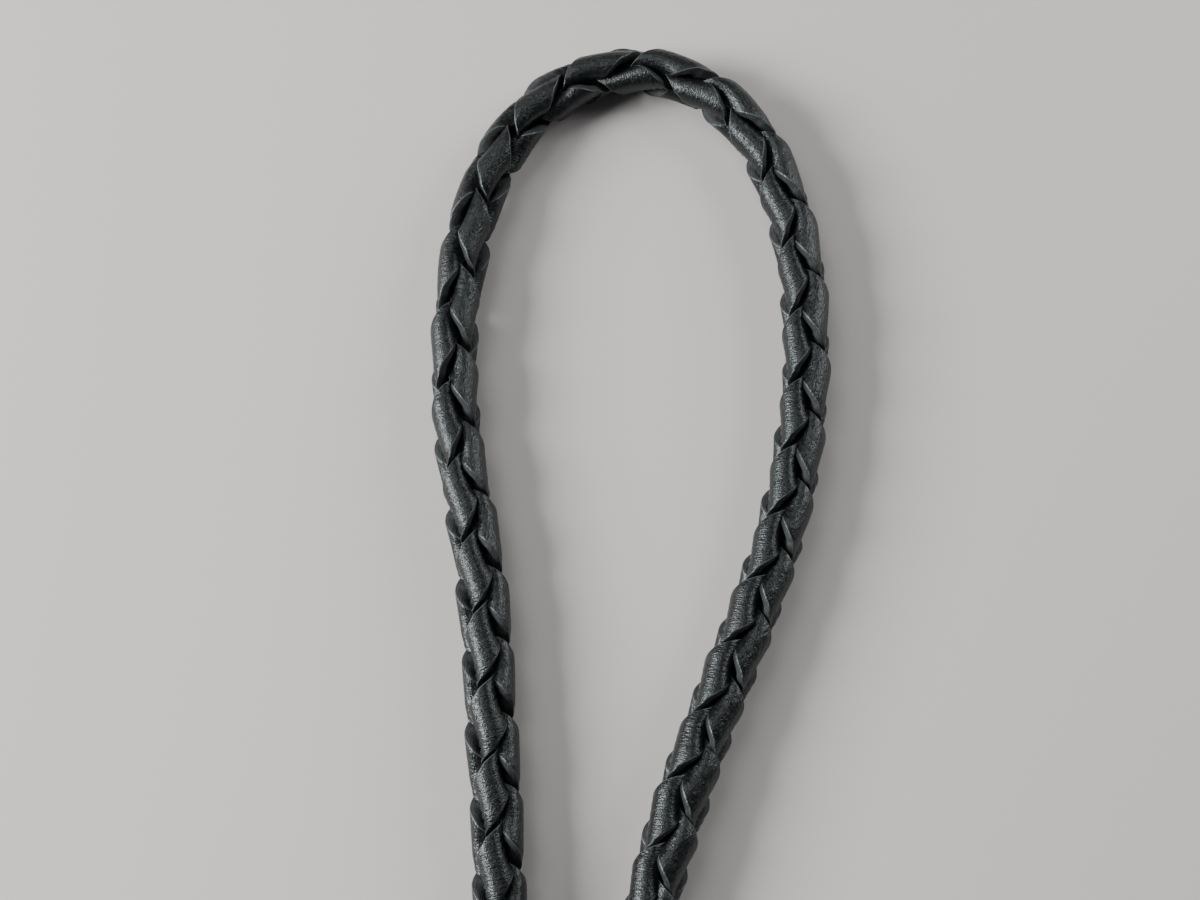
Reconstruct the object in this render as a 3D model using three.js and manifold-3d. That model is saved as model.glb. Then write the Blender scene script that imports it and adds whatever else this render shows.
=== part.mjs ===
// Bolo tie: one plaited leather cord, doubled into a neck loop, whose two legs run side by side
// through a plain oval slide and end in metal tips.
// Millimetres, +Z up. The tie lies face up on a flat surface at z = 0. The origin is the middle of
// the slide's flat underside, +Y points to the neck loop and -Y to the tips.
import * as THREE from 'three';
import { mergeVertices } from 'three/addons/utils/BufferGeometryUtils.js';
import Module from 'manifold-3d';

const wasm = await Module();
wasm.setup();

// ---- driving dimensions ----
const CORD_R = 2.6; // over the high points of the plait; sold as 5 mm cord
const CORD_SIDES = 10;
const CORD_STEPS = 80;
const LEG_X = 3.3; // from the tie's middle line to each leg, where the two run side by side
const CLEARANCE = 0.35; // all round the cord, in the slide and in the tips
const BORE_R = CORD_R + CLEARANCE;
const BORE_SEGMENTS = 28;

const PLATE_WIDTH = 33; // the slide's oval front
const PLATE_HEIGHT = 44;
const PLATE_BACK_Z = 7.4;
const PLATE_EDGE = 2; // thickness at the edge
const PLATE_ROUND = 0.7; // radius of the edge's two corners
const PLATE_CROWN = 2.2; // how much thicker the middle is
const PLATE_SEGMENTS = 56;
const CROWN_RINGS = 6;

const SLEEVE_WALL = 0.8; // under the bores and beside them
const SLEEVE_LENGTH = 14;
const SLEEVE_CORNER = 2.6;
const SLEEVE_SINK = 0.4; // let into the plate, so that the two are one solid
const BORE_Z = SLEEVE_WALL + BORE_R;

const TIP_LENGTH = 45;
const TIP_MOUTH_R = 3.8;
const TIP_NOSE_R = 2.1;
const TIP_LIP = 0.4; // softened edge of the mouth
const SOCKET_DEPTH = 10.5; // the cord goes in 10 mm
const TIP_SEGMENTS = 28;

// The cord's centre line, from its end in the left tip up the left leg, round the neck loop and
// down the right leg to its end in the right tip. The loop leans to the right, as it was laid down.
const LOW = CORD_R; // the cord lies on the surface
const IN_MOUTH = TIP_MOUTH_R + 0.05;
const IN_SOCKET = IN_MOUTH - 0.4;
const CORD_ROUTE = [
  // [x, y, z]
  [-6.9, -207.1, IN_SOCKET],
  [-6.6, -197.1, IN_MOUTH],
  [-6.3, -184, LOW + 0.7],
  [-6, -170, LOW + 0.1],
  [-5.6, -150, LOW],
  [-4.6, -100, LOW],
  [-3.7, -60, LOW],
  [-LEG_X, -30, LOW + 0.1],
  [-LEG_X, -18, LOW + 0.7],
  [-LEG_X, -7, BORE_Z],
  [-LEG_X, 7, BORE_Z],
  [-LEG_X, 18, LOW + 0.7],
  [-LEG_X, 30, LOW + 0.1],
  [-LEG_X, 60, LOW],
  [-LEG_X, 100, LOW],
  [-3.5, 130, LOW],
  [-4.5, 156, LOW],
  [-5.6, 173.5, LOW],
  [-7.1, 188, LOW],
  [-9.2, 200, LOW],
  [-9.6, 212.5, LOW],
  [-7, 226.2, LOW],
  [0.5, 236.6, LOW],
  [9.5, 239.2, LOW],
  [18, 235.5, LOW],
  [23.9, 225.5, LOW],
  [25.9, 212, LOW],
  [24.4, 196.5, LOW],
  [19.6, 181.2, LOW],
  [13.8, 167.1, LOW],
  [10.2, 156, LOW],
  [6.5, 140, LOW],
  [4, 120, LOW],
  [LEG_X, 96, LOW],
  [LEG_X, 60, LOW],
  [LEG_X, 30, LOW + 0.1],
  [LEG_X, 18, LOW + 0.7],
  [LEG_X, 7, BORE_Z],
  [LEG_X, -7, BORE_Z],
  [LEG_X, -18, LOW + 0.7],
  [LEG_X, -30, LOW + 0.1],
  [3.6, -60, LOW],
  [4.4, -100, LOW],
  [5.6, -150, LOW],
  [6, -170, LOW + 0.1],
  [6.3, -184, LOW + 0.7],
  [6.6, -197.1, IN_MOUTH],
  [6.9, -207.1, IN_SOCKET],
].map(([x, y, z]) => new THREE.Vector3(x, y, z));

// ---- materials ----
const leather = new THREE.MeshStandardMaterial({ color: 0x1d1f1f, roughness: 0.5, metalness: 0 });
const nickel = new THREE.MeshStandardMaterial({ color: 0xb9b8b4, roughness: 0.3, metalness: 1 });

// ---- between three.js geometries and solids that can be joined ----
function toSolid(geometry) {
  const bare = geometry.clone();
  bare.deleteAttribute('normal');
  bare.deleteAttribute('uv');
  const merged = mergeVertices(bare, 1e-4);
  return new wasm.Manifold(new wasm.Mesh({
    numProp: 3,
    vertProperties: merged.attributes.position.array,
    triVerts: new Uint32Array(merged.index.array),
  }));
}

function toGeometry(solid) {
  const mesh = solid.getMesh();
  const geometry = new THREE.BufferGeometry();
  geometry.setAttribute('position', new THREE.BufferAttribute(mesh.vertProperties, 3));
  geometry.setIndex(new THREE.BufferAttribute(mesh.triVerts, 1));
  geometry.computeVertexNormals();
  return geometry;
}

function named(name, geometry, material) {
  const mesh = new THREE.Mesh(geometry, material);
  mesh.name = name;
  return mesh;
}

// A closed ring of points, run forwards or backwards, as the outline of a section or of a bore.
function polygon(path, x, y, radius, sides, direction) {
  for (let i = 0; i < sides; i += 1) {
    const angle = (direction * 2 * Math.PI * i) / sides;
    const point = [x + radius * Math.cos(angle), y + radius * Math.sin(angle)];
    if (i === 0) path.moveTo(...point);
    else path.lineTo(...point);
  }
  path.closePath();
  return path;
}

// ---- the cord: one tube along its route ----
function makeCord() {
  const section = polygon(new THREE.Shape(), 0, 0, CORD_R, CORD_SIDES, 1);
  const route = new THREE.CatmullRomCurve3(CORD_ROUTE, false, 'centripetal');
  const tube = new THREE.ExtrudeGeometry(section, { steps: CORD_STEPS, extrudePath: route });
  return named('cord', tube, leather);
}

// ---- the slide: an oval plate with a low crown, and behind it the sleeve that holds both legs ----
function makePlate() {
  const edge = PLATE_HEIGHT / 2;
  const low = PLATE_BACK_Z + PLATE_ROUND;
  const high = PLATE_BACK_Z + PLATE_EDGE - PLATE_ROUND;
  const crest = PLATE_BACK_Z + PLATE_EDGE + PLATE_CROWN;
  const rim = new THREE.Path();
  rim.moveTo(0, PLATE_BACK_Z);
  rim.lineTo(edge - PLATE_ROUND, PLATE_BACK_Z);
  rim.absarc(edge - PLATE_ROUND, low, PLATE_ROUND, -Math.PI / 2, 0);
  rim.absarc(edge - PLATE_ROUND, high, PLATE_ROUND, 0, Math.PI / 2);
  const crown = new THREE.Path(rim.getPoints(1));
  crown.quadraticCurveTo(edge / 2, crest, 0, crest);
  const plate = new THREE.LatheGeometry(crown.getPoints(CROWN_RINGS), PLATE_SEGMENTS);
  plate.rotateX(Math.PI / 2);
  plate.scale(PLATE_WIDTH / PLATE_HEIGHT, 1, 1);
  return plate;
}

function makeSleeve() {
  const side = LEG_X + BORE_R + SLEEVE_WALL;
  const corner = side - SLEEVE_CORNER;
  const top = PLATE_BACK_Z + SLEEVE_SINK;
  const section = new THREE.Shape();
  section.moveTo(-side, top);
  section.lineTo(-side, SLEEVE_CORNER);
  section.absarc(-corner, SLEEVE_CORNER, SLEEVE_CORNER, Math.PI, 1.5 * Math.PI);
  section.absarc(corner, SLEEVE_CORNER, SLEEVE_CORNER, -Math.PI / 2, 0);
  section.lineTo(side, top);
  for (const x of [-LEG_X, LEG_X]) {
    section.holes.push(polygon(new THREE.Path(), x, BORE_Z, BORE_R, BORE_SEGMENTS, -1));
  }
  const sleeve = new THREE.ExtrudeGeometry(section, { depth: SLEEVE_LENGTH, bevelEnabled: false, curveSegments: 4 });
  sleeve.translate(0, 0, -SLEEVE_LENGTH / 2);
  sleeve.rotateX(Math.PI / 2);
  return sleeve;
}

function makeSlide() {
  return named('slide', toGeometry(toSolid(makePlate()).add(toSolid(makeSleeve()))), nickel);
}

// ---- a tip: a plain tapered ferrule with a blind socket for the cord's end ----
function makeTip(name) {
  const nose = TIP_NOSE_R - TIP_LENGTH;
  const profile = new THREE.Path();
  profile.absarc(0, nose, TIP_NOSE_R, -Math.PI / 2, 0);
  profile.lineTo(TIP_MOUTH_R, -TIP_LIP);
  profile.lineTo(TIP_MOUTH_R - TIP_LIP, 0);
  profile.lineTo(BORE_R, 0);
  profile.lineTo(BORE_R, -SOCKET_DEPTH);
  profile.lineTo(0, -SOCKET_DEPTH);
  return named(name, new THREE.LatheGeometry(profile.getPoints(3), TIP_SEGMENTS), nickel);
}

// A tip's mouth is at the cord's last point but one, and its whole side lies on the surface.
function placeTip(name, mouth, end) {
  const away = new THREE.Vector3().subVectors(end, mouth);
  const holder = new THREE.Group();
  holder.position.copy(mouth);
  holder.rotation.order = 'ZXY';
  holder.rotation.z = Math.atan2(away.x, -away.y);
  holder.rotation.x = Math.atan((TIP_MOUTH_R - TIP_NOSE_R) / (TIP_LENGTH - TIP_NOSE_R));
  holder.add(makeTip(name));
  return holder;
}

const boloTie = new THREE.Group();
boloTie.add(makeCord());
boloTie.add(makeSlide());
boloTie.add(placeTip('tip_left', CORD_ROUTE.at(1), CORD_ROUTE.at(0)));
boloTie.add(placeTip('tip_right', CORD_ROUTE.at(-2), CORD_ROUTE.at(-1)));

export default boloTie;
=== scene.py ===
"""Looks of a bolo tie: a plaited leather cord, a plain oval slide and two metal tips."""
import logging
import math
from dataclasses import dataclass, field
from enum import Enum, IntEnum

import bmesh
import bpy
import numpy as np
from mathutils import Matrix, Vector


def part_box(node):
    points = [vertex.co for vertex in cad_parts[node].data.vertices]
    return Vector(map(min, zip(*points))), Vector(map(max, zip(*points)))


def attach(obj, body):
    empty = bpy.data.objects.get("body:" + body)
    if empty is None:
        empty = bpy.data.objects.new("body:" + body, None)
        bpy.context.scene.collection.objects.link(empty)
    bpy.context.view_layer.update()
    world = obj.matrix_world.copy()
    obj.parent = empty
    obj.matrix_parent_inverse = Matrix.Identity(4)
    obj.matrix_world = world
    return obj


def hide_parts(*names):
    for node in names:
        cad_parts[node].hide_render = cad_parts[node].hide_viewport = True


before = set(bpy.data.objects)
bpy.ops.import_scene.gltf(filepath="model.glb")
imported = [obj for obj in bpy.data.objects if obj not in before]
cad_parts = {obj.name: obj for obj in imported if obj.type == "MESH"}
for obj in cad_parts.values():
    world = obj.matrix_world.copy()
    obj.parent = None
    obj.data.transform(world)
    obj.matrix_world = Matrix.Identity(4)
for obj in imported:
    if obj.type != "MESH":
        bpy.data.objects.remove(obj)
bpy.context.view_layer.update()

logging.basicConfig(level=logging.INFO, format="%(name)s: %(message)s")
log = logging.getLogger("bolo_tie")

# ---- the cord's route, in metres, as the model has it: up one leg, round, and down the other ----
CORD_RADIUS = 0.0026
LEG_X = 0.0033
BORE_Z = 0.00375
IN_MOUTH = 0.00385
IN_SOCKET = IN_MOUTH - 0.0004
LOW = CORD_RADIUS
CORD_ROUTE: list[tuple[float, float, float]] = [
    (-0.0069, -0.2071, IN_SOCKET),
    (-0.0066, -0.1971, IN_MOUTH),
    (-0.0063, -0.184, LOW + 0.0007),
    (-0.006, -0.17, LOW + 0.0001),
    (-0.0056, -0.15, LOW),
    (-0.0046, -0.1, LOW),
    (-0.0037, -0.06, LOW),
    (-LEG_X, -0.03, LOW + 0.0001),
    (-LEG_X, -0.018, LOW + 0.0007),
    (-LEG_X, -0.007, BORE_Z),
    (-LEG_X, 0.007, BORE_Z),
    (-LEG_X, 0.018, LOW + 0.0007),
    (-LEG_X, 0.03, LOW + 0.0001),
    (-LEG_X, 0.06, LOW),
    (-LEG_X, 0.1, LOW),
    (-0.0035, 0.13, LOW),
    (-0.0045, 0.156, LOW),
    (-0.0056, 0.1735, LOW),
    (-0.0071, 0.188, LOW),
    (-0.0092, 0.2, LOW),
    (-0.0096, 0.2125, LOW),
    (-0.007, 0.2262, LOW),
    (0.0005, 0.2366, LOW),
    (0.0095, 0.2392, LOW),
    (0.018, 0.2355, LOW),
    (0.0239, 0.2255, LOW),
    (0.0259, 0.212, LOW),
    (0.0244, 0.1965, LOW),
    (0.0196, 0.1812, LOW),
    (0.0138, 0.1671, LOW),
    (0.0102, 0.156, LOW),
    (0.0065, 0.14, LOW),
    (0.004, 0.12, LOW),
    (LEG_X, 0.096, LOW),
    (LEG_X, 0.06, LOW),
    (LEG_X, 0.03, LOW + 0.0001),
    (LEG_X, 0.018, LOW + 0.0007),
    (LEG_X, 0.007, BORE_Z),
    (LEG_X, -0.007, BORE_Z),
    (LEG_X, -0.018, LOW + 0.0007),
    (LEG_X, -0.03, LOW + 0.0001),
    (0.0036, -0.06, LOW),
    (0.0044, -0.1, LOW),
    (0.0056, -0.15, LOW),
    (0.006, -0.17, LOW + 0.0001),
    (0.0063, -0.184, LOW + 0.0007),
    (0.0066, -0.1971, IN_MOUTH),
    (0.0069, -0.2071, IN_SOCKET),
]

# The point in the middle of the neck loop that the camera and the lights aim at.
VIEW_CENTRE = Vector((0.005, 0.1985, LOW))

# Points nearer to each other than this are merged.
MERGE_WITHIN = 1e-7

# Coordinates nearer to each other than this count as equal.
EQUAL_WITHIN = 1e-6


# ---- small helpers ----
def new_object(name: str, mesh: bpy.types.Mesh) -> bpy.types.Object:
    """Link a mesh to the scene as an object at the origin.

    Args:
        name: the piece's name.
        mesh: its finished mesh.

    Returns:
        The new object.
    """
    made = bpy.data.objects.new(name, mesh)
    bpy.context.scene.collection.objects.link(made)
    return made


def mesh_from(bm: bmesh.types.BMesh, name: str) -> bpy.types.Mesh:
    """Turn a bmesh into a mesh with smooth faces and free the bmesh.

    Args:
        bm: the modelled piece.
        name: the mesh's name.

    Returns:
        The new mesh.
    """
    mesh = bpy.data.meshes.new(name)
    bm.to_mesh(mesh)
    bm.free()
    mesh.polygons.foreach_set("use_smooth", [True] * len(mesh.polygons))
    return mesh


def spun(profile: list[tuple[float, float]], steps: int) -> bmesh.types.BMesh:
    """Spin a profile once round the Z axis into a closed solid.

    Args:
        profile: (radius, height) points, from the axis back to the axis.
        steps: how many steps the full turn has.

    Returns:
        The closed solid, its faces pointing out.
    """
    bm = bmesh.new()
    verts = [bm.verts.new((radius, 0.0, height)) for radius, height in profile]
    edges = [bm.edges.new(pair) for pair in zip(verts, verts[1:])]
    bmesh.ops.spin(
        bm,
        geom=verts + edges,
        cent=(0, 0, 0),
        axis=(0, 0, 1),
        angle=2 * math.pi,
        steps=steps,
        use_merge=True,
    )
    bmesh.ops.remove_doubles(bm, verts=bm.verts, dist=MERGE_WITHIN)
    bmesh.ops.recalc_face_normals(bm, faces=bm.faces)
    return bm


def arc(
    cx: float, cz: float, radius: float, start: float, end: float, steps: int,
) -> list[tuple[float, float]]:
    """Points on an arc of a spun profile.

    Args:
        cx: radius at which the arc's centre lies.
        cz: height of its centre.
        radius: the arc's radius.
        start: start angle in degrees.
        end: end angle in degrees.
        steps: number of equal steps.

    Returns:
        The points, both ends included.
    """
    angles = np.radians(np.linspace(start, end, steps + 1))
    return [(cx + radius * math.cos(a), cz + radius * math.sin(a)) for a in angles]


# ---- the route as one smooth line ----
@dataclass
class Route:
    """The cord's centre line: a smooth curve through the route's points, evenly sampled.

    Attributes:
        points: the route's points.
        step: distance between the samples.
        line: the sampled points.
        along: how far along the cord each sample is.
        ahead: the cord's direction at each sample.
        up: the direction away from the surface, square to the cord.
        right: the direction to the cord's right.
    """

    points: list[tuple[float, float, float]]
    step: float = 0.00025
    line: np.ndarray = field(init=False)
    along: np.ndarray = field(init=False)
    ahead: np.ndarray = field(init=False)
    up: np.ndarray = field(init=False)
    right: np.ndarray = field(init=False)

    def __post_init__(self) -> None:
        """Sample the curve and find its directions everywhere."""
        dense = self.through(np.array(self.points))
        dense[:, 2] = np.maximum(dense[:, 2], LOW)
        run = self.measured(dense)
        count = int(run[-1] / self.step)
        self.along = np.linspace(0.0, run[-1], count + 1)
        self.line = np.stack([np.interp(self.along, run, dense[:, k]) for k in range(3)], axis=1)
        self.ahead = self.unit(np.gradient(self.line, axis=0))
        world_up = np.array([0.0, 0.0, 1.0])
        self.up = self.unit(world_up - self.ahead * (self.ahead @ world_up)[:, None])
        self.right = np.cross(self.ahead, self.up)

    @staticmethod
    def unit(vectors: np.ndarray) -> np.ndarray:
        """Scale each vector to length 1."""
        return vectors / np.linalg.norm(vectors, axis=1, keepdims=True)

    @staticmethod
    def measured(points: np.ndarray) -> np.ndarray:
        """Distance run at each point of a line."""
        return np.concatenate([[0.0], np.cumsum(np.linalg.norm(np.diff(points, axis=0), axis=1))])

    def through(self, knots: np.ndarray) -> np.ndarray:
        """Natural cubic spline through the route's points.

        Args:
            knots: the points, one in each row.

        Returns:
            Points on the spline, about as far apart as the step.
        """
        t = self.measured(knots)
        gap = np.diff(t)
        slope = np.diff(knots, axis=0) / gap[:, None]
        size = len(knots)
        matrix = np.eye(size)
        target = np.zeros((size, 3))
        for i in range(1, size - 1):
            matrix[i, i - 1 : i + 2] = gap[i - 1], 2 * (gap[i - 1] + gap[i]), gap[i]
            target[i] = 6 * (slope[i] - slope[i - 1])
        bend = np.linalg.solve(matrix, target)
        at = np.linspace(0.0, t[-1], int(t[-1] / self.step))
        k = np.clip(np.searchsorted(t, at, side="right") - 1, 0, size - 2)
        a = (t[k + 1] - at)[:, None]
        b = (at - t[k])[:, None]
        g = gap[k][:, None]
        straight = (a * knots[k] + b * knots[k + 1]) / g
        return straight + ((a**3 / g - a * g) * bend[k] + (b**3 / g - b * g) * bend[k + 1]) / 6

    @property
    def length(self) -> float:
        """The cord's length in metres."""
        return float(self.along[-1])

    @property
    def middle(self) -> float:
        """How far along the top of the neck loop is."""
        return float(self.along[self.line[:, 1].argmax()])

    def sample(self, values: np.ndarray, where: np.ndarray) -> np.ndarray:
        """Read one of the line's vectors at any distances along it.

        Args:
            values: vectors at self.along.
            where: distances along the line.

        Returns:
            A vector for each distance.
        """
        return np.stack([np.interp(where, self.along, values[:, k]) for k in range(3)], axis=1)


# ---- the plaited cord ----
class Lean(Enum):
    """Which way a lace winds round the cord as it runs on."""

    RIGHT = 1
    LEFT = -1


class Lie(IntEnum):
    """The columns of the table of how the plait lies."""

    ALONG = 0
    ROLL = 1
    LAY = 2
    GIRTH = 3


@dataclass(frozen=True)
class Lace:
    """One of the four laces of the plait.

    Attributes:
        lean: which way it winds.
        start_turn: where round the cord it starts, in turns.
        over_first: 1 if it passes over at its first crossing, -1 if under.
        seed: what its own random numbers start from.
    """

    lean: Lean
    start_turn: float
    over_first: int
    seed: int


LACES = (
    Lace(Lean.RIGHT, 0.0, 1, 11),
    Lace(Lean.RIGHT, 0.5, -1, 23),
    Lace(Lean.LEFT, 0.0, -1, 37),
    Lace(Lean.LEFT, 0.5, 1, 53),
)

# How the plait lies along the cord: distance from the top of the neck loop, left leg negative; the
# plait's roll to the right in degrees; the length of one full turn of a lace; the girth's share.
PLAIT_LIE: list[tuple[float, float, float, float]] = [
    # along, roll, lay, girth
    (-0.45, -11, 0.0141, 1.0),
    (-0.08, -11, 0.0141, 1.01),
    (-0.066, -12, 0.0141, 1.0),
    (-0.055, -24, 0.0147, 0.99),
    (-0.047, -38, 0.0158, 0.97),
    (-0.039, -48, 0.0165, 0.96),
    (-0.031, -60, 0.0164, 0.96),
    (-0.023, -75, 0.0158, 0.96),
    (-0.015, -88, 0.0154, 0.97),
    (-0.008, -102, 0.0152, 0.97),
    (0.0, -120, 0.0157, 0.97),
    (0.007, -133, 0.016, 0.97),
    (0.014, -137, 0.016, 0.97),
    (0.024, -136, 0.0155, 0.98),
    (0.032, -135, 0.015, 0.98),
    (0.039, -132, 0.0146, 0.98),
    (0.046, -137, 0.0142, 0.99),
    (0.056, -140, 0.0138, 1.01),
    (0.068, -134, 0.0136, 1.03),
    (0.085, -129, 0.0138, 1.06),
    (0.12, -129, 0.014, 1.0),
    (0.45, -129, 0.0141, 1.0),
]


@dataclass
class PlaitedCord:
    """Four flat leather laces plaited round each other, one mesh along the route.

    Attributes:
        route: the cord's centre line.
        lace_width: a lace's width, laid flat.
        lace_thick: its thickness.
        lace_corner: how far its two upper edges are rounded off.
        crown: how far its edges lie below the middle of its grain side.
        core_radius: mean distance of a lace from the cord's middle.
        swing: how far it rises over the others and dips under them.
        swell: further rise and dip, spread evenly between the crossings.
        wrap_radius: the radius that it is bent to across its width.
        dwell: how much it runs straight on where it is on top, and round where it isn't.
        over_share: how much more of its way is over than under.
        flatness: how flat it stays across its width where it is on top.
        sharpness: how suddenly it dips.
        narrowing: share of its width that it loses where it is under.
        rest_gap: least height above the surface.
        play_gap: distance between the random changes that hand plaiting leaves.
        width_play: how uneven its width is, as a share.
        edge_play: how far it strays to its side.
        cant_play: how far it is canted, as a slope.
        height_play: how far it stands off.
        columns: faces across its grain side.
        rings: faces along it.
        fine_share: share of the rings that lie round the neck loop.
        fine_reach: how far from the loop's top they lie closer together.
        map_scale: units of its texture map to a metre.
        map_shift: shift of that map along the lace, for each step of its seed.
    """

    route: Route
    lace_width: float = 0.0032
    lace_thick: float = 0.0008
    lace_corner: float = 0.00012
    crown: float = 0.00012
    core_radius: float = 0.00132
    swing: float = 0.00046
    swell: float = 0.0004
    wrap_radius: float = 0.00132
    dwell: float = 0.36
    over_share: float = 0.14
    flatness: float = 0.52
    sharpness: float = 3.6
    narrowing: float = 0.06
    rest_gap: float = 0.00003
    play_gap: float = 0.0052
    width_play: float = 0.035
    edge_play: float = 0.00009
    cant_play: float = 0.03
    height_play: float = 0.00003
    columns: int = 6
    rings: int = 1850
    fine_share: float = 0.42
    fine_reach: float = 0.102
    map_scale: float = 10.0
    map_shift: float = 0.013

    def flat_lace(self) -> bmesh.types.BMesh:
        """Make one lace laid out flat, 1 long in X, with softened long edges and its grain side up.

        Returns:
            The closed strip, cut into rings along its length.
        """
        bm = bmesh.new()
        bmesh.ops.create_cube(bm, size=1.0)
        bmesh.ops.scale(bm, vec=(1.0, self.lace_width, self.lace_thick), verts=bm.verts)
        upper = [e for e in bm.edges if min(v.co.z for v in e.verts) > 0]
        bmesh.ops.bevel(
            bm,
            geom=[e for e in upper if not self.is_across(e)],
            offset=self.lace_corner,
            segments=2,
            profile=0.5,
            affect="EDGES",
            material=-1,
        )
        top = self.lace_thick / 2 - EQUAL_WITHIN
        across = [e for e in bm.edges if min(v.co.z for v in e.verts) > top and self.is_across(e)]
        bmesh.ops.subdivide_edges(bm, edges=across, cuts=self.columns - 1, use_grid_fill=True)
        long_edges = [e for e in bm.edges if not self.is_across(e)]
        bmesh.ops.subdivide_edges(bm, edges=long_edges, cuts=self.rings - 1, use_grid_fill=True)
        return bm

    @staticmethod
    def is_across(edge: bmesh.types.BMEdge) -> bool:
        """Whether an edge of the flat lace runs across it."""
        return abs(edge.verts[0].co.x - edge.verts[1].co.x) < EQUAL_WITHIN

    def ring_places(self, share: np.ndarray) -> np.ndarray:
        """Spread the rings along the cord, closer together round the neck loop.

        Args:
            share: 0 to 1 along the flat lace.

        Returns:
            Distances along the cord.
        """
        low = self.route.middle - self.fine_reach
        high = self.route.middle + self.fine_reach
        coarse = (1 - self.fine_share) * low / (low + self.route.length - high)
        shares = [0.0, coarse, coarse + self.fine_share, 1.0]
        return np.interp(share, shares, [0.0, low, high, self.route.length])

    @staticmethod
    def table_value(from_top: np.ndarray, column: Lie) -> np.ndarray:
        """Read a column of the plait's table at distances from the neck loop's top."""
        table = np.array(PLAIT_LIE)
        return np.interp(from_top, table[:, Lie.ALONG], table[:, column])

    def lie(self, where: np.ndarray) -> tuple[np.ndarray, np.ndarray]:
        """Work out the plait's turn and roll along the cord.

        Args:
            where: distances along the cord.

        Returns:
            The plait's own turn and its roll round the cord, both in radians.
        """
        from_top = self.route.along - self.route.middle
        lay = self.table_value(from_top, Lie.LAY)
        turn = np.concatenate([[0.0], np.cumsum(2 * math.pi * self.route.step / lay[:-1])])
        turn -= np.interp(0.0, from_top, turn)
        roll = np.radians(self.table_value(from_top, Lie.ROLL))
        return np.interp(where, self.route.along, turn), np.interp(where, self.route.along, roll)

    def girth(self, where: np.ndarray) -> np.ndarray:
        """How thick the plait is along the cord, as a share of its usual girth."""
        return self.table_value(where - self.route.middle, Lie.GIRTH)

    def uneven(self, where: np.ndarray, rng: np.random.Generator, size: float) -> np.ndarray:
        """Slow random change along a lace, as hand plaiting leaves.

        Args:
            where: distances along the cord.
            rng: the lace's own random numbers.
            size: standard deviation of the change.

        Returns:
            The change at each distance.
        """
        past = 0.01
        spots = np.arange(-past, self.route.length + past, self.play_gap)
        return np.interp(where, spots, rng.normal(0.0, size, len(spots)))

    def wind(self, lace: Lace, flat: np.ndarray) -> np.ndarray:
        """Wind a flat lace into its place in the plait.

        Args:
            lace: which of the laces it is.
            flat: the flat lace's points: distance along the cord, across, and up from its middle.

        Returns:
            The same points where they lie in the cord.
        """
        sign = lace.lean.value
        rng = np.random.default_rng(lace.seed)
        place, across, height = flat.T
        turn, _ = self.lie(place)
        start = 2 * math.pi * lace.start_turn
        own_crossing = 2 * sign * turn + start
        depth = self.level(lace, own_crossing)
        # How far each point is to the lace's side, and where along the cord that puts it.
        width = 1 - self.narrowing * (1 - depth) / 2 + self.uneven(place, rng, self.width_play)
        off = across * width * self.girth(place) + self.uneven(place, rng, self.edge_play)
        lay = 2 * math.pi / np.gradient(self.lie(self.route.along)[0], self.route.along)
        angle = np.arctan2(2 * math.pi * self.wrap_radius, np.interp(place, self.route.along, lay))
        there = np.clip(place - sign * off * np.sin(angle), 0.0, self.route.length)
        turn_there, roll = self.lie(there)
        aside = off * np.cos(angle)
        # How the lace bends round the cord, and how high it runs over or under its crossing.
        flat_share = self.flatness * (1 + depth) / 2
        outer = self.core_radius + self.swing * depth
        bent = (1 - flat_share) * aside / self.wrap_radius + flat_share * np.arctan2(aside, outer)
        spread = (sign * (turn - turn_there) + bent) / (1 - self.dwell)
        crossing = 2 * sign * turn_there + start + spread
        radius = self.core_radius + self.swing * self.level(lace, crossing)
        radius += self.swell * lace.over_first * np.cos(crossing)
        radius += self.uneven(place, rng, self.cant_play) * off
        radius += self.uneven(place, rng, self.height_play)
        reach = (1 - flat_share) * radius + flat_share * np.hypot(radius, aside)
        reach *= self.girth(there)
        half = self.lace_width / 2
        rise = height - self.crown * (across / half) ** 2 * (height > 0)
        # The place round the cord, then the point itself.
        middle = sign * turn + start + roll
        middle -= self.dwell / 2 * lace.over_first * np.sin(own_crossing)
        facing = middle + (1 - flat_share) * bent
        high = reach * np.cos(middle + bent) + rise * np.cos(facing)
        wide = reach * np.sin(middle + bent) + rise * np.sin(facing)
        centre = self.route.sample(self.route.line, there)
        up = self.route.sample(self.route.up, there)
        right = self.route.sample(self.route.right, there)
        wound = centre + high[:, None] * up + wide[:, None] * right
        wound[:, 2] = np.maximum(wound[:, 2], self.rest_gap)
        return wound

    def level(self, lace: Lace, crossing: np.ndarray) -> np.ndarray:
        """How high a lace runs: 1 where it passes over another, -1 where it passes under.

        Args:
            lace: which of the laces it is.
            crossing: where it is between crossings, in radians.

        Returns:
            Its level, from -1 to 1.
        """
        return np.tanh(self.sharpness * (lace.over_first * np.cos(crossing) + self.over_share))

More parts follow.
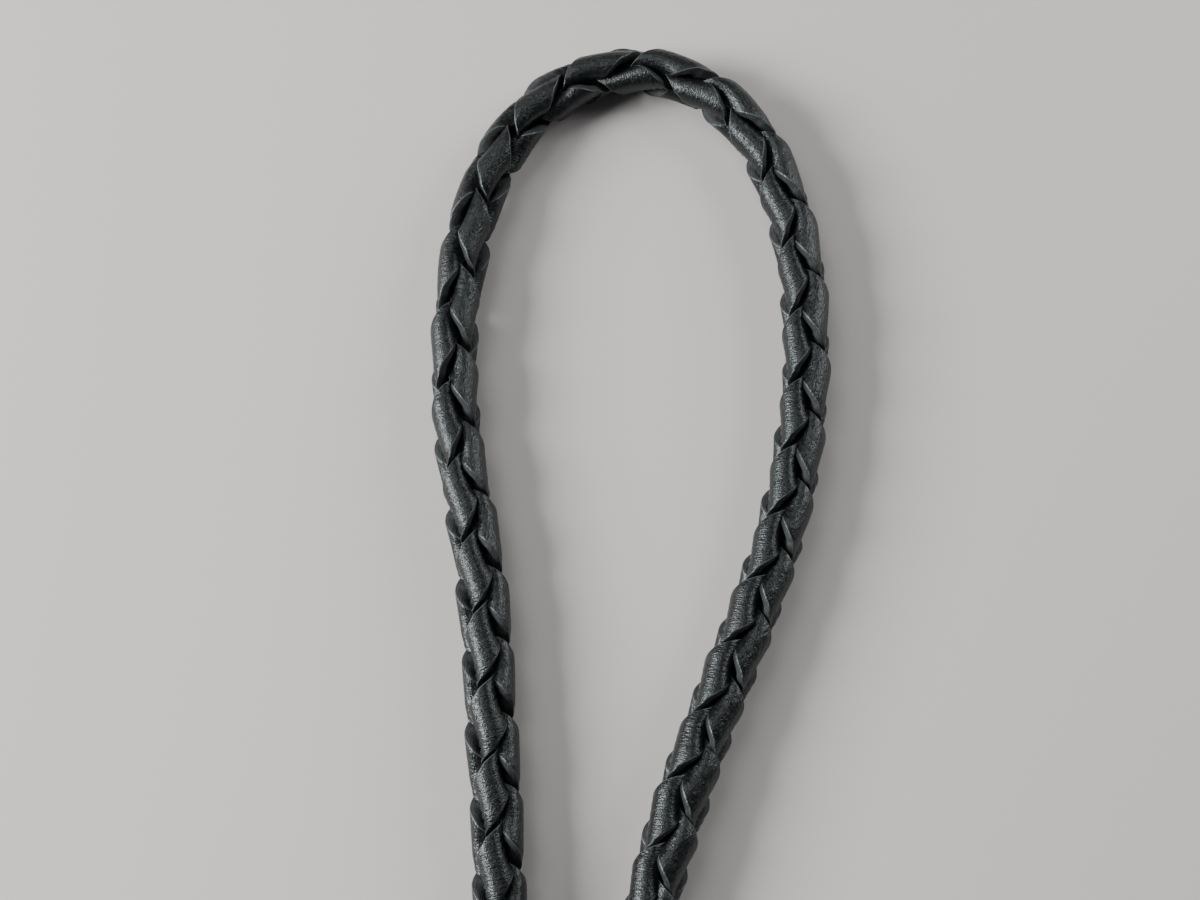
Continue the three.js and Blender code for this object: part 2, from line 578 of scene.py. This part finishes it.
    def lace_mesh(self, lace: Lace) -> bpy.types.Mesh:
        """Make one lace as it lies in the plait, with its own texture map and cut-edge mask.

        Args:
            lace: which of the laces it is.

        Returns:
            The lace's mesh.
        """
        mesh = mesh_from(self.flat_lace(), "lace")
        count = len(mesh.vertices)
        flat = np.zeros(count * 3)
        mesh.vertices.foreach_get("co", flat)
        flat = flat.reshape(-1, 3)
        flat[:, 0] = self.ring_places(flat[:, 0] + 0.5)
        below = self.lace_thick / 2 - flat[:, 2]
        cut = np.clip(below / self.lace_corner, 0.0, 1.0)
        mask = mesh.attributes.new("cut_edge", "FLOAT", "POINT")
        mask.data.foreach_set("value", cut.astype(np.float32))
        unrolled = np.sign(flat[:, 1]) * (np.abs(flat[:, 1]) + below)
        loops = np.zeros(len(mesh.loops), np.int32)
        mesh.loops.foreach_get("vertex_index", loops)
        layer = mesh.uv_layers.new(name="lace_map")
        shift = self.map_shift * lace.seed
        pairs = [flat[loops, 0] * self.map_scale + shift, unrolled[loops] * self.map_scale]
        pairs = np.stack(pairs, axis=1)
        layer.data.foreach_set("uv", pairs.astype(np.float32).ravel())
        mesh.vertices.foreach_set("co", self.wind(lace, flat).ravel())
        return mesh

    def build(self) -> bpy.types.Object:
        """Join the four wound laces into the cord.

        Returns:
            The cord's object.
        """
        bm = bmesh.new()
        for lace in LACES:
            mesh = self.lace_mesh(lace)
            bm.from_mesh(mesh)
            bpy.data.meshes.remove(mesh)
        bmesh.ops.recalc_face_normals(bm, faces=bm.faces)
        return new_object("plaited_cord", mesh_from(bm, "plaited_cord"))


# ---- the slide ----
@dataclass
class Slide:
    """A plain oval plate with a low crown, and the sleeve behind it that both legs run through.

    Attributes:
        back: height of the plate's back.
        edge: thickness of the plate at its edge.
        round: radius of that edge's rounding.
        crown: how far the plate's middle rises above its edge.
        bore: radius of each bore.
        flare: how far the bores' mouths are softened.
        wall: least wall beside a bore, and how far its cutter stands out of the sleeve.
        length: the sleeve's length.
        sink: how far the sleeve reaches into the plate.
        corner: rounding of the sleeve's lower edges.
        edge_steps: steps of each rounding of the plate's edge.
        crown_steps: steps from that edge to the middle.
        crown_start: angle on the upper rounding where the crown starts, in degrees.
        corner_steps: steps of the sleeve's rounding.
        plate_steps: steps round the plate.
        bore_steps: steps round a bore.
        sharp_angle: edges past this many degrees stay sharp.
    """

    back: float = 0.0074
    edge: float = 0.002
    round: float = 0.0007
    crown: float = 0.0022
    bore: float = 0.00295
    flare: float = 0.0002
    wall: float = 0.0008
    length: float = 0.014
    sink: float = 0.0004
    corner: float = 0.0026
    edge_steps: int = 5
    crown_steps: int = 16
    crown_start: float = 84.0
    corner_steps: int = 10
    plate_steps: int = 128
    bore_steps: int = 64
    sharp_angle: float = 32.0

    def plate(self) -> bmesh.types.BMesh:
        """Spin the round plate and press it to its oval width.

        Returns:
            The plate.
        """
        low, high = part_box("slide")
        half = (high.y - low.y) / 2
        width = (high.x - low.x) / (high.y - low.y)
        top = self.back + self.edge
        rim = half - self.round
        profile = [(0.0, self.back)]
        profile += arc(rim, self.back + self.round, self.round, -90, 0, self.edge_steps)
        profile += arc(rim, top - self.round, self.round, 0, self.crown_start, self.edge_steps)
        edge_radius, edge_height = profile[-1]
        rise = top + self.crown - edge_height
        for share in np.linspace(0.0, 1.0, self.crown_steps + 1)[1:]:
            profile.append((edge_radius * (1 - share), edge_height + rise * (1 - (1 - share) ** 2)))
        bm = spun(profile, self.plate_steps)
        bmesh.ops.scale(bm, vec=(width, 1.0, 1.0), verts=bm.verts)
        return bm

    def sleeve(self) -> bmesh.types.BMesh:
        """Make the sleeve's block, rounded along its lower edges and softened at its ends.

        Returns:
            The block, with no bores yet.
        """
        width = 2 * (LEG_X + self.bore + self.wall)
        height = self.back + self.sink
        bm = bmesh.new()
        bmesh.ops.create_cube(bm, size=1.0)
        bmesh.ops.scale(bm, vec=(width, self.length, height), verts=bm.verts)
        bmesh.ops.translate(bm, vec=(0.0, 0.0, height / 2), verts=bm.verts)
        low = [e for e in bm.edges if max(v.co.z for v in e.verts) < EQUAL_WITHIN]
        bmesh.ops.bevel(
            bm,
            geom=[e for e in low if not self.is_across(e)],
            offset=self.corner,
            segments=self.corner_steps,
            profile=0.5,
            affect="EDGES",
            material=-1,
        )
        bmesh.ops.bevel(
            bm,
            geom=[e for e in bm.edges if self.is_across(e)],
            offset=self.round / 3,
            segments=2,
            profile=0.5,
            affect="EDGES",
            material=-1,
        )
        return bm

    @staticmethod
    def is_across(edge: bmesh.types.BMEdge) -> bool:
        """Whether an edge of the sleeve's block lies in one of its ends."""
        return abs(edge.verts[0].co.y - edge.verts[1].co.y) < EQUAL_WITHIN

    def cutter(self, x: float) -> bmesh.types.BMesh:
        """Spin the shape that one bore takes out of the sleeve, with softened mouths.

        Args:
            x: where the bore's axis is.

        Returns:
            The cutting shape.
        """
        reach = self.length / 2
        profile = [
            (0.0, -reach - self.wall),
            (self.bore + self.flare, -reach - self.wall),
            (self.bore + self.flare, -reach),
            (self.bore, -reach + self.flare),
            (self.bore, reach - self.flare),
            (self.bore + self.flare, reach),
            (self.bore + self.flare, reach + self.wall),
            (0.0, reach + self.wall),
        ]
        bm = spun(profile, self.bore_steps)
        turn = Matrix.Rotation(math.pi / 2, 4, "X")
        bmesh.ops.transform(bm, matrix=Matrix.Translation((x, 0.0, BORE_Z)) @ turn, verts=bm.verts)
        return bm

    def build(self) -> bpy.types.Object:
        """Solder the plate to its sleeve and bore it.

        Returns:
            The slide's object.
        """
        plate = new_object("plain_slide", mesh_from(self.plate(), "plain_slide"))
        steps = [("UNION", self.sleeve())]
        steps += [("DIFFERENCE", self.cutter(x)) for x in (-LEG_X, LEG_X)]
        tools = []
        for operation, bm in steps:
            tool = new_object("tool", mesh_from(bm, "tool"))
            tools.append(tool)
            change = plate.modifiers.new("join", "BOOLEAN")
            change.operation = operation
            change.solver = "EXACT"
            change.object = tool
        depsgraph = bpy.context.evaluated_depsgraph_get()
        shaped = bpy.data.meshes.new_from_object(plate.evaluated_get(depsgraph))
        plate.modifiers.clear()
        plate.data = shaped
        shaped.name = "plain_slide"
        shaped.polygons.foreach_set("use_smooth", [True] * len(shaped.polygons))
        shaped.set_sharp_from_angle(angle=math.radians(self.sharp_angle))
        for tool in tools:
            bpy.data.objects.remove(tool)
        return plate


# ---- the tips ----
class Side(Enum):
    """Which leg a tip closes, with the route's points at its mouth and at the cord's end."""

    LEFT = (1, 0)
    RIGHT = (-2, -1)


@dataclass
class Tip:
    """A plain tapered ferrule on one end of the cord.

    Attributes:
        side: the leg that it closes.
        length: its length.
        mouth: its radius at the mouth.
        nose: the radius of its rounded nose.
        lip: rounding of the mouth's edge.
        socket: radius of the socket that holds the cord's end.
        depth: the socket's depth.
        nose_steps: steps of the nose's rounding.
        lip_steps: steps of the lip's rounding.
        round_steps: steps round the ferrule.
        sharp_angle: edges past this many degrees stay sharp.
    """

    side: Side
    length: float = 0.045
    mouth: float = 0.0038
    nose: float = 0.0021
    lip: float = 0.0004
    socket: float = 0.00295
    depth: float = 0.0105
    nose_steps: int = 8
    lip_steps: int = 4
    round_steps: int = 64
    sharp_angle: float = 50.0

    @property
    def mouth_at(self) -> Vector:
        """The middle of the tip's mouth."""
        return Vector(CORD_ROUTE[self.side.value[0]])

    def build(self) -> bpy.types.Object:
        """Spin the ferrule and lay it on the surface round the cord's end.

        Returns:
            The tip's object.
        """
        profile = [(0.0, -self.length)]
        profile += arc(0.0, self.nose - self.length, self.nose, -80, 0, self.nose_steps)
        profile += arc(self.mouth - self.lip, -self.lip, self.lip, 4, 90, self.lip_steps)
        profile += [(self.socket, 0.0), (self.socket, -self.depth), (0.0, -self.depth)]
        bm = spun(profile, self.round_steps)
        mouth = self.mouth_at
        away = Vector(CORD_ROUTE[self.side.value[1]]) - mouth
        away.z = 0.0
        drop = (self.mouth - self.nose) / (self.length - self.nose)
        aim = (away.normalized() - Vector((0.0, 0.0, drop))).to_track_quat("-Z", "Y")
        place = Matrix.Translation(mouth) @ aim.to_matrix().to_4x4()
        bmesh.ops.transform(bm, matrix=place, verts=bm.verts)
        name = f"plain_tip_{self.side.name.lower()}"
        mesh = mesh_from(bm, name)
        mesh.set_sharp_from_angle(angle=math.radians(self.sharp_angle))
        return new_object(name, mesh)


# ---- finishes ----
@dataclass
class Nodes:
    """Short ways to add and join the nodes of one material or group."""

    tree: bpy.types.NodeTree

    def add(self, kind: str, settings: dict | None = None, **values: object) -> bpy.types.Node:
        """Add a node.

        Args:
            kind: the node's type.
            settings: its own options.
            values: its inputs, by name with _ for a space, or as in0 or in1 by number. Each is a
                number, a colour or another node's output.

        Returns:
            The node.
        """
        node = self.tree.nodes.new(kind)
        for key, value in (settings or {}).items():
            setattr(node, key, value)
        for key, value in values.items():
            numbered = key.startswith("in") and key[2:].isdigit()
            socket = node.inputs[int(key[2:]) if numbered else key.replace("_", " ")]
            if isinstance(value, bpy.types.NodeSocket):
                self.tree.links.new(value, socket)
            else:
                socket.default_value = value
        return node

    def noise(
        self, where: bpy.types.NodeSocket, scale: float, detail: float = 3.0,
    ) -> bpy.types.NodeSocket:
        """Add noise and return its value."""
        return self.add("ShaderNodeTexNoise", Vector=where, Scale=scale, Detail=detail).outputs["Fac"]

    def stretch(
        self, where: bpy.types.NodeSocket, scale: tuple[float, float, float], turn: float = 0.0,
    ) -> bpy.types.NodeSocket:
        """Turn a pattern's coordinates by an angle in radians, then scale them."""
        about_z = {"rotation_type": "Z_AXIS"}
        turned = self.add("ShaderNodeVectorRotate", about_z, Vector=where, Angle=turn).outputs["Vector"]
        return self.add("ShaderNodeMapping", Vector=turned, Scale=scale).outputs["Vector"]

    def remap(
        self, value: bpy.types.NodeSocket, low: float, high: float, to: tuple[float, float],
    ) -> bpy.types.NodeSocket:
        """Map a value smoothly from low..high to the range given by to."""
        made = self.add(
            "ShaderNodeMapRange",
            {"interpolation_type": "SMOOTHSTEP"},
            Value=value, From_Min=low, From_Max=high, To_Min=to[0], To_Max=to[1],
        )
        return made.outputs["Result"]

    def math(self, operation: str, first: object, second: object) -> bpy.types.NodeSocket:
        """Add one calculation and return its value."""
        return self.add("ShaderNodeMath", {"operation": operation}, in0=first, in1=second).outputs[0]

    def mix(self, share: object, first: object, second: object) -> bpy.types.NodeSocket:
        """Mix two colours, by the mix node's numbered colour sockets, and return the result."""
        node = self.add("ShaderNodeMix", {"data_type": "RGBA"}, in0=share, in6=first, in7=second)
        return node.outputs[2]


@dataclass(frozen=True)
class LaceLeather:
    """Black-dyed lace leather: satin grain side, matt greyer cut edges and flesh side, and a painted
    highlight along the corner between them.

    Attributes:
        dark: the darkest dye of the grain side.
        light: its lightest dye.
        edge: the cut edges and the flesh side.
        corner: colour of the painted highlight along the corner between grain side and cut edge.
        gloss: roughness of the grain side, from its smoothest to its dullest.
        edge_dull: how much rougher the cut edges are.
        sheen: level of the reflection.
        sheen_tint: its tint.
        mottle: fineness of the dye's mottling, along the lace, across it and in depth.
        pores: fineness of the pores.
        creases: fineness of the creases.
        fibres: fineness of the fibres in the cut edges.
        patches: fineness of the slow unevenness, to a metre.
        pore_relief: share of the pores in the grain's relief.
        crease_relief: share of the creases.
        patch_relief: share of the slow unevenness.
        relief: strength of the relief.
        relief_depth: its depth.
    """

    dark: tuple = (0.003, 0.0034, 0.0034, 1.0)
    light: tuple = (0.0095, 0.0102, 0.0108, 1.0)
    edge: tuple = (0.015, 0.0155, 0.0175, 1.0)
    corner: tuple = (0.08, 0.095, 0.094, 1.0)
    gloss: tuple = (0.28, 0.41)
    edge_dull: float = 0.3
    sheen: float = 0.55
    sheen_tint: tuple = (0.9, 0.985, 1.0, 1.0)
    mottle: tuple = (260.0, 420.0, 1.0)
    pores: tuple = (430.0, 520.0, 1.0)
    creases: tuple = (680.0, 180.0, 1.0)
    fibres: tuple = (160.0, 1400.0, 1.0)
    patches: float = 420.0
    pore_relief: float = 0.19
    crease_relief: float = 1.5
    patch_relief: float = 1.0
    relief: float = 0.75
    relief_depth: float = 0.00009

    def material(self) -> bpy.types.Material:
        """Make the leather's material.

        Returns:
            The material.
        """
        made = bpy.data.materials.new("lace_leather")
        made.use_nodes = True
        n = Nodes(made.node_tree)
        shader = made.node_tree.nodes["Principled BSDF"]
        lace = n.add("ShaderNodeUVMap", {"uv_map": "lace_map"}).outputs["UV"]
        cut = n.add("ShaderNodeAttribute", {"attribute_name": "cut_edge"}).outputs["Fac"]
        body = n.add("ShaderNodeTexCoord").outputs["Object"]
        patches = n.noise(body, self.patches, 2.0)
        mottle = n.noise(n.stretch(lace, self.mottle, 0.5), 1.0, 4.0)
        pores = n.add(
            "ShaderNodeTexVoronoi", {"feature": "DISTANCE_TO_EDGE"},
            Vector=n.stretch(lace, self.pores, 0.3), Scale=1.0,
        ).outputs["Distance"]
        creases = n.noise(n.stretch(lace, self.creases, 0.8), 1.0, 3.0)
        grain_tone = n.mix(n.remap(mottle, 0.35, 0.7, (0.0, 1.0)), self.dark, self.light)
        fibres = n.noise(n.stretch(lace, self.fibres), 1.0, 4.0)
        edge_tone = n.mix(n.remap(fibres, 0.3, 0.7, (0.0, 1.0)), self.light, self.edge)
        tone = n.mix(n.remap(cut, 0.25, 0.9, (0.0, 1.0)), grain_tone, edge_tone)
        # Painted highlight: a thin light line along the corner where the grain side meets the cut edge,
        # uneven along the lace.
        near_grain = n.remap(cut, 0.02, 0.25, (0.0, 1.0))
        corner_highlight = n.math("MULTIPLY", near_grain, n.remap(cut, 0.3, 0.8, (1.0, 0.0)))
        corner_highlight = n.math("MULTIPLY", corner_highlight, n.remap(patches, 0.3, 0.6, (0.25, 1.0)))
        n.tree.links.new(n.mix(corner_highlight, tone, self.corner), shader.inputs["Base Color"])
        gloss = n.remap(mottle, 0.3, 0.75, self.gloss)
        rough = n.math("ADD", gloss, n.remap(cut, 0.25, 0.9, (0.0, self.edge_dull)))
        n.tree.links.new(rough, shader.inputs["Roughness"])
        height = n.math("MULTIPLY", n.remap(pores, 0.0, 0.3, (0.0, 1.0)), self.pore_relief)
        height = n.math("ADD", height, n.math("MULTIPLY", creases, self.crease_relief))
        height = n.math("ADD", height, n.math("MULTIPLY", patches, self.patch_relief))
        bump = n.add(
            "ShaderNodeBump", Strength=self.relief, Distance=self.relief_depth, Height=height,
        )
        n.tree.links.new(bump.outputs["Normal"], shader.inputs["Normal"])
        shader.inputs["Specular IOR Level"].default_value = self.sheen
        shader.inputs["Specular Tint"].default_value = self.sheen_tint
        return made


# How fine the worn places on the metal are, to a metre.
WORN_SCALE = 90.0


@dataclass(frozen=True)
class PlainMetal:
    """Softly polished nickel plate with faint hairlines and handling marks.

    Attributes:
        name: the material's name.
        lines: how fine the hairlines are along each axis.
        colour: the polished metal.
        dull: the metal where it is worn.
        smooth: least roughness.
        worn_rough: how much rougher the worn places are.
        line_rough: how much rougher the hairlines make it.
        relief: strength of the hairlines' relief.
        relief_depth: its depth.
    """

    name: str
    lines: tuple[float, float, float]
    colour: tuple = (0.60, 0.59, 0.565, 1.0)
    dull: tuple = (0.565, 0.555, 0.53, 1.0)
    smooth: float = 0.2
    worn_rough: float = 0.05
    line_rough: float = 0.1
    relief: float = 0.12
    relief_depth: float = 0.00002

    @staticmethod
    def hairlines() -> bpy.types.NodeTree:
        """Make the node group of polishing hairlines, shared by the metal pieces.

        Returns:
            The node group: the lines' fineness along each axis and the amount of marks go in, and
            the lines' height and a mask of worn places come out.
        """
        known = bpy.data.node_groups.get("hairlines")
        if known:
            return known
        made = bpy.data.node_groups.new("hairlines", "ShaderNodeTree")
        for way, name, kind in (
            ("INPUT", "Stretch", "NodeSocketVector"),
            ("INPUT", "Marks", "NodeSocketFloat"),
            ("OUTPUT", "Height", "NodeSocketFloat"),
            ("OUTPUT", "Worn", "NodeSocketFloat"),
        ):
            made.interface.new_socket(name=name, in_out=way, socket_type=kind)
        n = Nodes(made)
        given = n.add("NodeGroupInput")
        where = n.add("ShaderNodeTexCoord").outputs["Object"]
        fine = n.add(
            "ShaderNodeVectorMath", {"operation": "MULTIPLY"}, in0=where, in1=given.outputs["Stretch"],
        ).outputs["Vector"]
        lines = n.noise(fine, 1.0, 4.0)
        marks = n.noise(where, WORN_SCALE, 2.0)
        worn = n.math("MULTIPLY", n.remap(marks, 0.3, 0.75, (0.0, 1.0)), given.outputs["Marks"])
        given_back = n.add("NodeGroupOutput")
        made.links.new(lines, given_back.inputs["Height"])
        made.links.new(worn, given_back.inputs["Worn"])
        return made

    def material(self) -> bpy.types.Material:
        """Make the metal's material.

        Returns:
            The material.
        """
        made = bpy.data.materials.new(self.name)
        made.use_nodes = True
        n = Nodes(made.node_tree)
        shader = made.node_tree.nodes["Principled BSDF"]
        group = n.add("ShaderNodeGroup", {"node_tree": self.hairlines()}, Stretch=self.lines, Marks=1.0)
        tone = n.mix(group.outputs["Worn"], self.colour, self.dull)
        n.tree.links.new(tone, shader.inputs["Base Color"])
        worn_rough = n.math("MULTIPLY", group.outputs["Worn"], self.worn_rough)
        line_rough = n.math("MULTIPLY", group.outputs["Height"], self.line_rough)
        rough = n.math("ADD", n.math("ADD", worn_rough, line_rough), self.smooth)
        n.tree.links.new(rough, shader.inputs["Roughness"])
        bump = n.add(
            "ShaderNodeBump",
            Strength=self.relief,
            Distance=self.relief_depth,
            Height=group.outputs["Height"],
        )
        n.tree.links.new(bump.outputs["Normal"], shader.inputs["Normal"])
        shader.inputs["Metallic"].default_value = 1.0
        return made


# ---- the surface it lies on, the lights and the camera ----
@dataclass(frozen=True)
class Lamp:
    """A soft square light aimed at the neck loop.

    Attributes:
        name: the light's name.
        place: where it is from the middle of the view.
        size: its side in metres.
        power: its power in watts.
    """

    name: str
    place: tuple[float, float, float]
    size: float
    power: float

    def build(self) -> None:
        """Hang the light in its place and aim it."""
        data = bpy.data.lights.new(self.name, "AREA")
        data.shape = "SQUARE"
        data.size = self.size
        data.energy = self.power
        made = bpy.data.objects.new(self.name, data)
        made.location = VIEW_CENTRE + Vector(self.place)
        made.rotation_euler = (-Vector(self.place)).to_track_quat("-Z", "Y").to_euler()
        bpy.context.scene.collection.objects.link(made)


@dataclass
class Studio:
    """A plain pale surface, soft lights and the camera above the neck loop.

    Attributes:
        elevation: the camera's angle above the surface, in degrees.
        distance: the camera's distance from the point that it aims at.
        lens: its focal length in millimetres.
        sensor: its sensor's width in millimetres.
        near: how near it sees.
        floor_half: half the surface's width.
        floor_colour: the surface's colour.
        floor_rough: its roughness.
        room_colour: colour of the light from all round.
        room_light: strength of the light from all round.
        lamps: the lights.
    """

    elevation: float = 78.0
    distance: float = 0.1648
    lens: float = 49.45
    sensor: float = 36.0
    near: float = 0.01
    floor_half: float = 8.0
    floor_colour: tuple = (0.62, 0.6, 0.58, 1.0)
    floor_rough: float = 0.9
    room_colour: tuple = (0.93, 0.91, 1.0, 1.0)
    room_light: float = 0.06
    lamps: tuple[Lamp, ...] = (
        Lamp("key", (-0.47, -0.02, 0.24), 0.23, 5.6),
        Lamp("side", (0.32, 0.2, 0.2), 0.22, 1.0),
        Lamp("back", (-0.26, 0.3, 0.6), 0.4, 1.5),
    )

    def camera(self) -> None:
        """Set the camera above the neck loop, looking down at it."""
        data = bpy.data.cameras.new("camera")
        data.lens = self.lens
        data.sensor_width = self.sensor
        data.clip_start = self.near
        made = bpy.data.objects.new("camera", data)
        tilt = math.radians(self.elevation)
        back = Vector((0.0, -math.cos(tilt), math.sin(tilt)))
        made.location = VIEW_CENTRE + self.distance * back
        made.rotation_euler = (-back).to_track_quat("-Z", "Y").to_euler()
        bpy.context.scene.collection.objects.link(made)
        bpy.context.scene.camera = made

    def floor(self) -> None:
        """Lay the plain pale surface."""
        bm = bmesh.new()
        bmesh.ops.create_grid(bm, x_segments=1, y_segments=1, size=self.floor_half)
        made = new_object("floor", mesh_from(bm, "floor"))
        pale = bpy.data.materials.new("pale_floor")
        pale.use_nodes = True
        shader = pale.node_tree.nodes["Principled BSDF"]
        shader.inputs["Base Color"].default_value = self.floor_colour
        shader.inputs["Roughness"].default_value = self.floor_rough
        made.data.materials.append(pale)

    def lights(self) -> None:
        """Light it softly, most of it low from the left and a little from all round."""
        world = bpy.data.worlds.new("soft_room")
        world.use_nodes = True
        room = world.node_tree.nodes["Background"]
        room.inputs["Color"].default_value = self.room_colour
        room.inputs["Strength"].default_value = self.room_light
        bpy.context.scene.world = world
        for lamp in self.lamps:
            lamp.build()

    def build(self) -> None:
        """Set up all of it."""
        self.camera()
        self.floor()
        self.lights()


def main() -> None:
    """Build the bolo tie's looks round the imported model."""
    Studio().build()
    route = Route(CORD_ROUTE)
    tips = [Tip(side) for side in Side]
    tip_pieces = [tip.build() for tip in tips]
    cord = PlaitedCord(route).build()
    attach(cord, "root")
    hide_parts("cord")
    cord.data.materials.append(LaceLeather().material())
    log.info("plaited_cord: %d faces, %.3f m", len(cord.data.polygons), route.length)
    tip_metal = PlainMetal("tip_metal", lines=(6000.0, 300.0, 6000.0)).material()
    for piece, node in zip(tip_pieces, ("tip_left", "tip_right")):
        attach(piece, "root")
        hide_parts(node)
        piece.data.materials.append(tip_metal)
        log.info("%s: %d faces", piece.name, len(piece.data.polygons))
    slide = Slide().build()
    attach(slide, "root")
    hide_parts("slide")
    slide.data.materials.clear()
    slide.data.materials.append(PlainMetal("slide_metal", lines=(5000.0, 300.0, 5000.0)).material())
    log.info("%s: %d faces", slide.name, len(slide.data.polygons))


if __name__ == "__main__":
    main()
